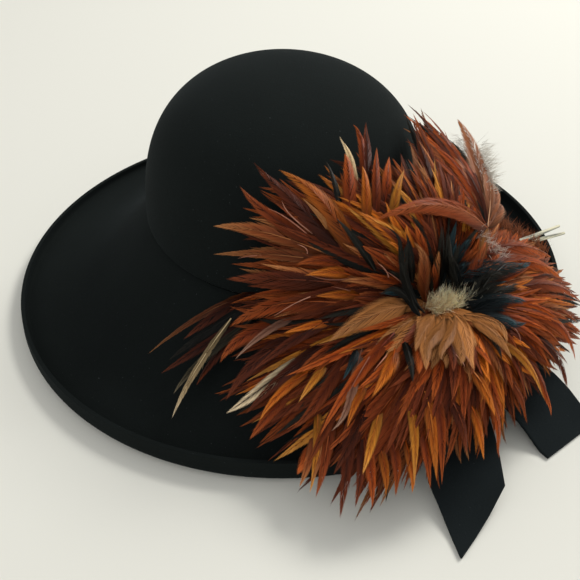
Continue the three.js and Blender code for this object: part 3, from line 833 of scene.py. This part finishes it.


# Face feathers: the ones on top that give the rosette its character. Each row has the root,
# middle and tip as turn and out on the rosette, in thousandths of a turn and hundredths of the
# way out, then the width in millimetres and the colouring. The thin pale glint rows are painted
# highlights: pale strips that stand for light glancing along the feathers.
FACE_FEATHERS = [
    (982, 47, 950, 73, 929, 106, 9.6, "mahogany"),
    (979, 56, 968, 77, 949, 100, 7.6, "russet"),
    (988, 53, 981, 79, 985, 101, 8.2, "brown"),
    (999, 49, 1001, 73, 1006, 100, 6.7, "brown"),
    (25, 49, 24, 72, 24, 96, 10.4, "mahogany"),
    (979, 42, 935, 69, 921, 99, 11.0, "orange"),
    (994, 35, 965, 47, 946, 61, 3.5, "black"),
    (961, 57, 951, 65, 940, 77, 3.0, "tan"),
    (888, 68, 858, 92, 854, 106, 4.2, "rust"),
    (883, 70, 857, 89, 843, 106, 4.7, "mahogany"),
    (900, 69, 876, 87, 868, 103, 3.6, "cream"),
    (931, 57, 892, 79, 875, 93, 7.1, "rust"),
    (931, 49, 892, 69, 874, 82, 4.5, "orange"),
    (908, 54, 874, 72, 849, 89, 4.6, "rust"),
    (883, 59, 865, 69, 846, 81, 6.1, "rust"),
    (925, 64, 903, 81, 890, 95, 3.0, "black"),
    (997, 47, 1001, 57, 1010, 68, 6.6, "rust"),
    (11, 45, 14, 54, 21, 65, 5.6, "orange"),
    (899, 49, 872, 59, 842, 71, 5.0, "amber"),
    (988, 18, 939, 27, 904, 41, 3.6, "black"),
    (725, 10, 810, 19, 817, 30, 6.1, "black"),
    (739, 9, 617, 27, 583, 51, 12.8, "teal"),
    (479, 10, 496, 23, 490, 38, 9.2, "teal"),
    (412, 17, 415, 33, 442, 44, 8.0, "teal"),
    (651, 35, 610, 57, 578, 76, 13.6, "rust"),
    (614, 32, 581, 54, 544, 75, 10.0, "rust"),
    (658, 24, 674, 39, 692, 53, 8.5, "tan"),
    (51, 50, 47, 75, 60, 96, 10.4, "rust"),
    (65, 71, 69, 89, 85, 99, 9.0, "rust"),
    (61, 67, 69, 80, 86, 93, 3.8, "rose"),
    (82, 67, 92, 84, 115, 99, 8.3, "mahogany"),
    (103, 64, 118, 85, 124, 101, 7.1, "ivory"),
    (124, 65, 129, 79, 143, 93, 5.0, "orange"),
    (132, 73, 142, 88, 151, 100, 7.0, "rust"),
    (125, 59, 135, 68, 147, 78, 4.5, "amber"),
    (74, 52, 74, 63, 75, 74, 4.6, "orange"),
    (42, 42, 43, 52, 43, 62, 5.1, "orange"),
    (121, 43, 171, 62, 186, 78, 4.3, "rose"),
    (124, 46, 139, 53, 153, 61, 3.9, "teal"),
    (163, 36, 178, 46, 190, 60, 7.2, "orange"),
    (175, 54, 182, 64, 194, 74, 4.3, "orange"),
    (194, 59, 204, 75, 211, 90, 6.2, "mahogany"),
    (207, 58, 219, 72, 228, 84, 4.7, "amber"),
    (185, 83, 189, 92, 192, 98, 5.8, "rust"),
    (72, 21, 81, 39, 100, 58, 12.6, "tan"),
    (335, 11, 250, 23, 246, 34, 5.9, "tan"),
    (333, 12, 304, 27, 310, 46, 8.3, "tan"),
    (376, 19, 376, 34, 378, 57, 6.9, "tan"),
    (182, 10, 176, 23, 192, 35, 7.9, "tan"),
    (261, 10, 208, 24, 222, 35, 6.9, "tan"),
    (164, 31, 193, 38, 219, 46, 4.3, "black"),
    (193, 27, 206, 34, 219, 42, 6.8, "rust"),
    (318, 45, 332, 62, 342, 80, 5.7, "orange"),
    (382, 37, 400, 66, 401, 102, 4.5, "amber"),
    (246, 47, 272, 68, 292, 96, 5.6, "orange"),
    (263, 49, 282, 70, 297, 99, 5.2, "rust"),
    (315, 62, 326, 81, 332, 101, 5.3, "orange"),
    (232, 51, 257, 70, 275, 94, 4.2, "amber"),
    (286, 54, 303, 71, 314, 90, 4.7, "mahogany"),
    (336, 59, 346, 83, 343, 106, 4.4, "rust"),
    (364, 54, 378, 81, 376, 103, 5.0, "rust"),
    (406, 58, 408, 91, 396, 112, 5.1, "rust"),
    (440, 52, 438, 85, 422, 106, 6.3, "mahogany"),
    (472, 42, 472, 69, 449, 99, 7.4, "rust"),
    (539, 35, 536, 64, 515, 93, 7.7, "rust"),
    (131, 16, -18, 25, -87, 36, 4.5, "black"),
    (133, 13, -37, 28, -79, 47, 2.8, "black"),
    (89, 17, 36, 27, 50, 36, 3.6, "black"),
    (490, 7, 767, 13, 819, 29, 6.7, "black"),
    (581, 10, 601, 25, 576, 45, 15.9, "black"),
    (482, 13, 532, 23, 542, 35, 13.5, "black"),
    (479, 10, 590, 20, 576, 28, 13.7, "black"),
    (417, 16, 488, 24, 478, 37, 9.2, "teal"),
    (388, 18, 418, 29, 424, 41, 9.0, "teal"),
    (62, 10, -58, 18, -92, 35, 7.1, "brown"),
    (613, 12, 658, 24, 676, 38, 8.4, "russet"),
    (375, 14, 400, 29, 381, 45, 8.0, "tan"),
    (289, 11, 289, 26, 286, 40, 8.8, "tan"),
    (153, 15, 200, 29, 226, 39, 6.8, "tan"),
    (261, 19, 269, 31, 274, 42, 5.8, "mahogany"),
    (161, 72, 189, 86, 207, 100, 4.6, "amber"),
    (171, 69, 196, 85, 212, 100, 5.3, "russet"),
    (189, 69, 214, 83, 232, 102, 5.6, "mahogany"),
    (175, 78, 190, 90, 199, 101, 4.8, "brown"),
    (210, 69, 232, 81, 249, 98, 5.2, "rust"),
    (226, 69, 243, 81, 256, 95, 4.0, "orange"),
    (233, 66, 251, 80, 264, 97, 4.6, "rust"),
    (233, 74, 249, 86, 258, 98, 2.4, "black"),
    (251, 69, 268, 85, 276, 98, 4.0, "orange"),
    (207, 70, 225, 82, 237, 97, 4.0, "mahogany"),
    (178, 75, 194, 87, 203, 97, 3.6, "brown"),
    (258, 62, 276, 80, 289, 99, 4.8, "rust"),
    (135, 31, 157, 54, 183, 83, 5.9, "rust"),
    (122, 47, 154, 70, 163, 87, 6.4, "russet"),
    (99, 56, 115, 75, 132, 95, 7.1, "mahogany"),
    (65, 48, 82, 67, 100, 87, 6.7, "mahogany"),
    (168, 64, 182, 79, 193, 94, 4.8, "russet"),
    # Painted highlights: thin pale strips that stand for light glancing along the feathers.
    (968, 61, 960, 74, 949, 82, 1.1, "painted_glint"),
    (972, 62, 963, 75, 960, 84, 1.0, "painted_glint"),
    (4, 70, 3, 79, 8, 90, 1.3, "painted_glint"),
    (994, 62, 990, 64, 988, 68, 0.8, "painted_glint"),
    (15, 43, 24, 54, 19, 64, 1.0, "painted_glint"),
    (0, 29, 993, 33, 987, 37, 0.8, "painted_glint"),
    (3, 23, 3, 29, 994, 35, 0.9, "painted_glint"),
    (37, 45, 36, 50, 33, 55, 0.8, "painted_glint"),
    (261, 24, 289, 33, 304, 42, 0.7, "painted_glint"),
    (242, 22, 279, 34, 292, 41, 0.7, "painted_glint"),
    (425, 31, 417, 42, 403, 52, 1.0, "painted_glint"),
    (135, 39, 153, 51, 172, 66, 0.9, "painted_glint"),
    (36, 55, 46, 67, 58, 78, 0.9, "painted_glint"),
    (163, 40, 163, 45, 167, 51, 1.2, "painted_glint"),
]
# These feathers get painted root shade only near the very base.
SOFT_COLOURINGS = ("tan", "painted_glint")  # the smoothest feathers, coloured down to their roots
FACE_LIFT, FACE_HUMP, FACE_SINK = 4, 5, 7  # at the tips, at the heart and at the roots, in mm


def through(first, middle, last, shares):
    """The curve through three values, at shares of its run."""
    return (
        first * (1 - shares) * (1 - 2 * shares)
        + middle * 4 * shares * (1 - shares)
        + last * shares * (2 * shares - 1)
    )


def near_turn(turn, other):
    return turn + round(other - turn)


plume = Plume(seed=300)
for *places, width, colouring in FACE_FEATHERS:
    turn_a, turn_b, turn_c = (turn / 1000 for turn in places[::2])
    out_a, out_b, out_c = (out / 100 for out in places[1::2])
    turns = through(near_turn(turn_a, turn_b), turn_b, near_turn(turn_c, turn_b), share)
    outs = through(out_a, out_b, out_c, share)
    lifts = (FACE_LIFT + FACE_HUMP * (1 - outs) - FACE_SINK * (1 - share) ** 2.5) * MM
    line, outward = rosette_line(turns, outs, lifts)
    width = width * (0.55 if colouring == "painted_glint" else 1.2) * MM
    barbs, loose, root_shade_run = (64, 0.02, 0.1) if colouring in SOFT_COLOURINGS else (48, 0.05, 0.3)
    add_feather(
        plume, line, outward, width, colouring,
        barbs=barbs, roll=plume.random.normal(0, 0.10), loose=loose, root_shade_run=root_shade_run,
    )
piece = plume.mesh("face_feathers")
settle(piece, hackle_gloss, "hackle_rust")


# Upper spray: a second, slimmer bunch of hackles, bound beside the crown, that stands up past
# its shoulder. One long glossy feather of it curls to the left over the rosette.
UPPER_ROOT = (108, -97, 86)
CURL_TIP, CURL_BOW, CURL_WIDTH = (45, -119, 108), 13, 0.0125
# Each row is a tip, its bow and width in millimetres, and its dye
UPPER_FEATHERS = [
    (74, -14, 119, 7, 6, "mahogany"), (78, -17, 117, 5, 4, "black"), (82, -22, 118, 7, 4, "russet"),
    (72, -24, 117, 8, 3, "black"), (70, -50, 112, 8, 4, "rust"), (67, -62, 103, 8, 5, "amber"),
    (88, -30, 111, 7, 6, "rust"), (91, -33, 108, 8, 6, "orange"), (86, -40, 108, 9, 5, "black"),
    (95, -38, 108, 7, 5, "black"), (94, -44, 106, 8, 6, "rust"), (102, -25, 114, 7, 12, "fawn"),
    (102, -26, 113, 6, 12, "fawn"),
    (110, -44, 100, 9, 8, "fawn"), (118, -52, 86, 8, 8, "fawn"), (121, -66, 79, 7, 9, "fawn"),
    (82, -58, 105, 6, 6, "russet"), (90, -55, 106, 8, 6, "mahogany"), (76, -66, 103, 7, 6, "brown"),
    (71, -23, 117, 7, 8, "rust"), (69, -36, 115, 8, 8, "brown"), (69, -46, 112, 8, 8, "russet"),
    (76, -28, 116, 8, 8, "mahogany"), (76, -38, 114, 7, 7, "rust"), (80, -24, 117, 6, 6, "rust"),
    (83, -34, 114, 8, 7, "russet"), (78, -46, 111, 9, 7, "rust"), (72, -54, 109, 7, 7, "mahogany"),
    (88, -44, 109, 8, 7, "brown"), (93, -50, 105, 7, 7, "rust"), (98, -46, 105, 7, 6, "mahogany"),
    (84, -50, 109, 7, 4, "black"), (90, -60, 103, 7, 4, "black"),
]


def bowed_line(root, tip, bow):
    """A shaft that bows away from the rosette's core: its points and outward directions."""
    root, tip = np.array(root) * MM, np.array(tip) * MM
    middle = (root + tip) / 2
    middle = middle + unit(middle - CORE) * 2 * bow * MM
    t = share[:, None]
    line = off_the_felt((1 - t) ** 2 * root + 2 * t * (1 - t) * middle + t ** 2 * tip)
    return line, unit(line - CORE)


plume = Plume(seed=400)
for x, y, z, bow, width, colouring in UPPER_FEATHERS:
    line, outward = bowed_line(UPPER_ROOT, (x, y, z), bow)
    add_feather(
        plume, line, unit(outward + 1.2 * FACING), width * 1.1 * MM, colouring, barbs=max(48, width * 9),
        roll=plume.random.normal(0, 0.15), loose=0.05, root_shade_run=0.2,
    )
line, outward = bowed_line(UPPER_ROOT, CURL_TIP, CURL_BOW)
add_feather(
    plume, line, unit(0.3 * outward + FACING), CURL_WIDTH, "scarlet",
    barbs=60, loose=0.02, root_shade_run=0.1,
    shape=((0, 0.1, 0.3, 0.6, 0.8, 0.95, 1), (0.7, 0.95, 1.0, 0.85, 0.5, 0.15, 0.05)),
)
piece = plume.mesh("upper_spray_hackles")
settle(piece, hackle_gloss, "hackle_mahogany", "upper_spray")


# Side spray: a few thin dark hackles that stick out from under the rosette to the left and
# hang just above the brim.
# Each row is a feather: where it comes out of the rosette, its middle, its tip, its width in
# millimetres and its dye. Its root goes on inwards by a part of its length.
SIDE_FEATHERS = [
    ((-27, -98, 46), (-54, -106, 36), (-78, -121, 26), 5.5, "brown"),
    ((-33, -119, 40), (-53, -128, 32), (-70, -135, 24), 6.5, "mahogany"),
    ((-44, -130, 34), (-55, -147, 25), (-62, -163, 18), 4.8, "cream"),
    ((-38, -127, 36), (-53, -138, 28), (-62, -149, 22), 6.0, "olive"),
    ((-30, -121, 38), (-43, -133, 28), (-50, -144, 23), 6.0, "mahogany"),
    ((-28, -108, 43), (-50, -118, 34), (-66, -128, 27), 7.0, "black"),
    ((-27, -102, 46), (-44, -110, 40), (-58, -118, 33), 8.0, "mahogany"),
]
plume = Plume(seed=500)
HIDDEN_PART = 0.45  # of the visible length, from there inwards
inward = share * (1 + HIDDEN_PART) - HIDDEN_PART
for root, middle, tip, width, colouring in SIDE_FEATHERS:
    root, middle, tip = (np.array(place) * MM for place in (root, middle, tip))
    line = off_the_felt(through(root, middle, tip, inward[:, None]))
    add_feather(
        plume, line, unit(unit(line - CORE) + FACING), width * MM, colouring, barbs=46,
        roll=plume.random.normal(0, 0.1), loose=0.10, slant=13, shade=0.70, root_shade_run=0.42,
    )
piece = plume.mesh("side_spray_hackles")
settle(piece, hackle_gloss, "hackle_mahogany", "side_spray")


# Down: the soft, curly barbs at the feathers' roots. A cream tuft stands in the rosette's
# heart, and grey wisps show beside the upper spray.
TUFT_HAIR, WISP_HAIR = 0.00026, 0.0002


def add_down(plume, root, way, length, width, colour):
    """Loose hairs from root, each bent a little: way gives each its direction."""
    rng = plume.random
    hairs = len(root)
    drift = unit(rng.standard_normal((hairs, 3)))
    bend = root + way * (0.5 * length)[:, None] + drift * (0.10 * length)[:, None]
    end = root + way * length[:, None] + drift * (0.35 * length)[:, None]
    side = unit(np.cross(way, rng.standard_normal((hairs, 3)))) * (width / 2)
    thin = side * 0.8
    corners = np.stack([root - side, root + side, bend - thin, bend + thin, end], axis=1)
    shade = (colour * (1 + 0.15 * rng.standard_normal((hairs, 1)))).clip(0.01, 0.95)
    # Painted shade and light: each hair is a little darker at its root and lighter at its end.
    tints = np.stack([shade * 0.9, shade * 0.9, shade, shade, shade * 1.1], axis=1).clip(0, 1)
    plume.strips(corners, tints, np.zeros((hairs, 5, 2)))


plume = Plume(seed=600)
rng = plume.random
for (x, y, z), spread, hairs, length, colour in (
    ((81, -126, 57), (18, 7, 3), 3600, 9, (1.0, 0.76, 0.46)),
    ((85, -126, 59), (13, 5, 3), 2000, 9, (1.0, 0.86, 0.60)),
    ((70, -127, 56), (12, 8, 3), 1400, 8, (0.62, 0.36, 0.17)),
    ((84, -118, 58), (18, 6, 3), 900, 12, (0.10, 0.065, 0.04)),
):
    spread = np.array(spread) * 0.45
    root = (np.array((x, y, z)) + rng.standard_normal((hairs, 3)) * spread) * MM
    way = unit(FACING + (0.1, 0.5, 0.3) + 0.75 * rng.standard_normal((hairs, 3)))
    lengths = length * MM * rng.uniform(0.5, 1.2, hairs)
    add_down(plume, root, way, lengths, TUFT_HAIR, np.array(colour))
down_finish = feather_finish("down", 0.8, 0.1)
piece = plume.mesh("cream_down")
settle(piece, down_finish, "down", "centre_tuft")

# Wisps of grey down stand on both sides of the upper spray's broad feather, and below the
# spray, and a brown fuzz ends the rosette behind it. Each row is a line of roots, a shift from
# it, the hairs' lean, their count, length and colour.
broad_line, _ = bowed_line(UPPER_ROOT, (102, -25, 114), 7)
fuzz_turns = np.linspace(0.585, 0.650, LINE_POINTS)
fuzz_line = rosette_point(fuzz_turns, 0.92 * np.interp(fuzz_turns, *REACH))
knob_line = np.linspace((101, -100, 85), (115, -108, 75), LINE_POINTS) * MM
WISPS = [
    (broad_line[2:6], (4, 1, -1), (1.0, 0.3, 0.2), 420, 8, (0.62, 0.58, 0.50)),
    (broad_line[4:7], (-4, 0, -3), (-1.0, 0.3, 0.1), 160, 6, (0.60, 0.56, 0.50)),
    (knob_line, (0, 0, 0), (0.5, -0.5, 0.6), 240, 6, (0.62, 0.50, 0.42)),
    (fuzz_line, (0, 0, 0), (0.2, 0.9, 0.4), 900, 7, (0.26, 0.085, 0.035)),
]
plume = Plume(seed=650)
rng = plume.random
for line, shift, lean, hairs, length, colour in WISPS:
    along = rng.uniform(0, len(line) - 1, hairs)
    root = np.stack([np.interp(along, np.arange(len(line)), line[:, k]) for k in range(3)], -1)
    root = root + (np.array(shift) + rng.standard_normal((hairs, 3)) * 1.5) * MM
    way = unit(unit(np.array(lean)) + 0.35 * rng.standard_normal((hairs, 3)))
    lengths = length * MM * rng.uniform(0.4, 1.2, hairs)
    add_down(plume, root, way, lengths, WISP_HAIR, np.array(colour))
piece = plume.mesh("grey_wisps")
settle(piece, down_finish, "hackle_mahogany")


# Quills: two bare, cream feather shafts that were left long and stick out to the back.
QUILLS = [((143, -60, 49), (176, -30, 34)), ((148, -55, 50), (170, -35, 43))]
QUILL_SIDES = 10
QUILL_RADII = (0.0017, 0.0009)
QUILL_HIDDEN = 0.7  # of its visible length, inside the rosette
quill_finish, tree, shader = material_of("quill", Roughness=0.45)
place = node_of(tree, "ShaderNodeTexCoord")
stretch = node_of(
    tree, "ShaderNodeMapping", vector_type="TEXTURE",
    Rotation=(0, math.radians(16), math.radians(42)), Scale=(0.02, 0.0009, 0.0009),
)
grain = node_of(tree, "ShaderNodeTexNoise", Scale=1.0, Detail=2.0)
tones = ramp_of(tree, [(0.36, (0.10, 0.11, 0.10)), (0.60, (0.72, 0.68, 0.48))])
wire(
    tree,
    ((place, "Object"), (stretch, "Vector")),
    ((stretch, "Vector"), (grain, "Vector")),
    ((grain, "Fac"), (tones, "Fac")),
    ((tones, "Color"), (shader, "Base Color")),
)
for number, (root, end) in enumerate(QUILLS):
    root, end = (AXIS + Vector(place) * MM for place in (root, end))
    inner = root + (root - end) * QUILL_HIDDEN
    bpy.ops.object.select_all(action="DESELECT")
    bpy.ops.mesh.primitive_cone_add(
        vertices=QUILL_SIDES, radius1=QUILL_RADII[0], radius2=QUILL_RADII[1],
        depth=(end - inner).length, end_fill_type="TRIFAN",
    )
    quill = bpy.context.object
    quill.name = quill.data.name = f"quill_{number + 1}"
    bpy.ops.object.mode_set(mode="EDIT")
    bpy.ops.mesh.select_all(action="SELECT")
    bpy.ops.mesh.subdivide(number_cuts=1)
    bpy.ops.object.mode_set(mode="OBJECT")
    turn = (end - inner).to_track_quat("Z", "Y").to_matrix().to_4x4()
    quill.data.transform(Matrix.Translation((inner + end) / 2) @ turn)
    bpy.ops.object.shade_smooth_by_angle(angle=math.radians(50))
    settle(quill, quill_finish, "down")


# Floor and light: a plain pale floor, a broad window light from the upper right and a soft
# fill from all round.
FLOOR_SIZE, FLOOR_DROP = 6, 0.0004
bpy.ops.object.select_all(action="DESELECT")
bpy.ops.mesh.primitive_plane_add(size=FLOOR_SIZE, location=(0, 0, -FLOOR_DROP))
floor = bpy.context.object
floor.name = "floor"
floor_finish, *_ = material_of("pale floor", Base_Color=(0.79, 0.78, 0.705, 1), Roughness=0.9)
floor.data.materials.append(floor_finish)


LIGHT_AIM = 0.05  # height of the hat's middle


def add_light(name, place, size, power, colour):
    """A soft square light that faces the hat."""
    lamp = bpy.data.lights.new(name, "AREA")
    lamp.size = size
    lamp.energy = power
    lamp.color = colour
    light = placed(name, lamp)
    light.location = place
    towards = Vector((0, 0, LIGHT_AIM)) - Vector(place)
    light.rotation_euler = towards.to_track_quat("-Z", "Y").to_euler()


add_light("window", (1.3, 1.0, 1.7), 0.9, 37, (1.0, 0.99, 0.96))
add_light("fill", (-0.6, -1.6, 1.4), 1.6, 7, (0.96, 0.98, 1.0))
world = bpy.data.worlds.new("soft room")
bpy.context.scene.world = world
world.use_nodes = True
world.node_tree.nodes["Background"].inputs["Color"].default_value = (0.97, 0.975, 0.98, 1)
world.node_tree.nodes["Background"].inputs["Strength"].default_value = 0.55
bpy.context.scene.view_settings.view_transform = "Standard"
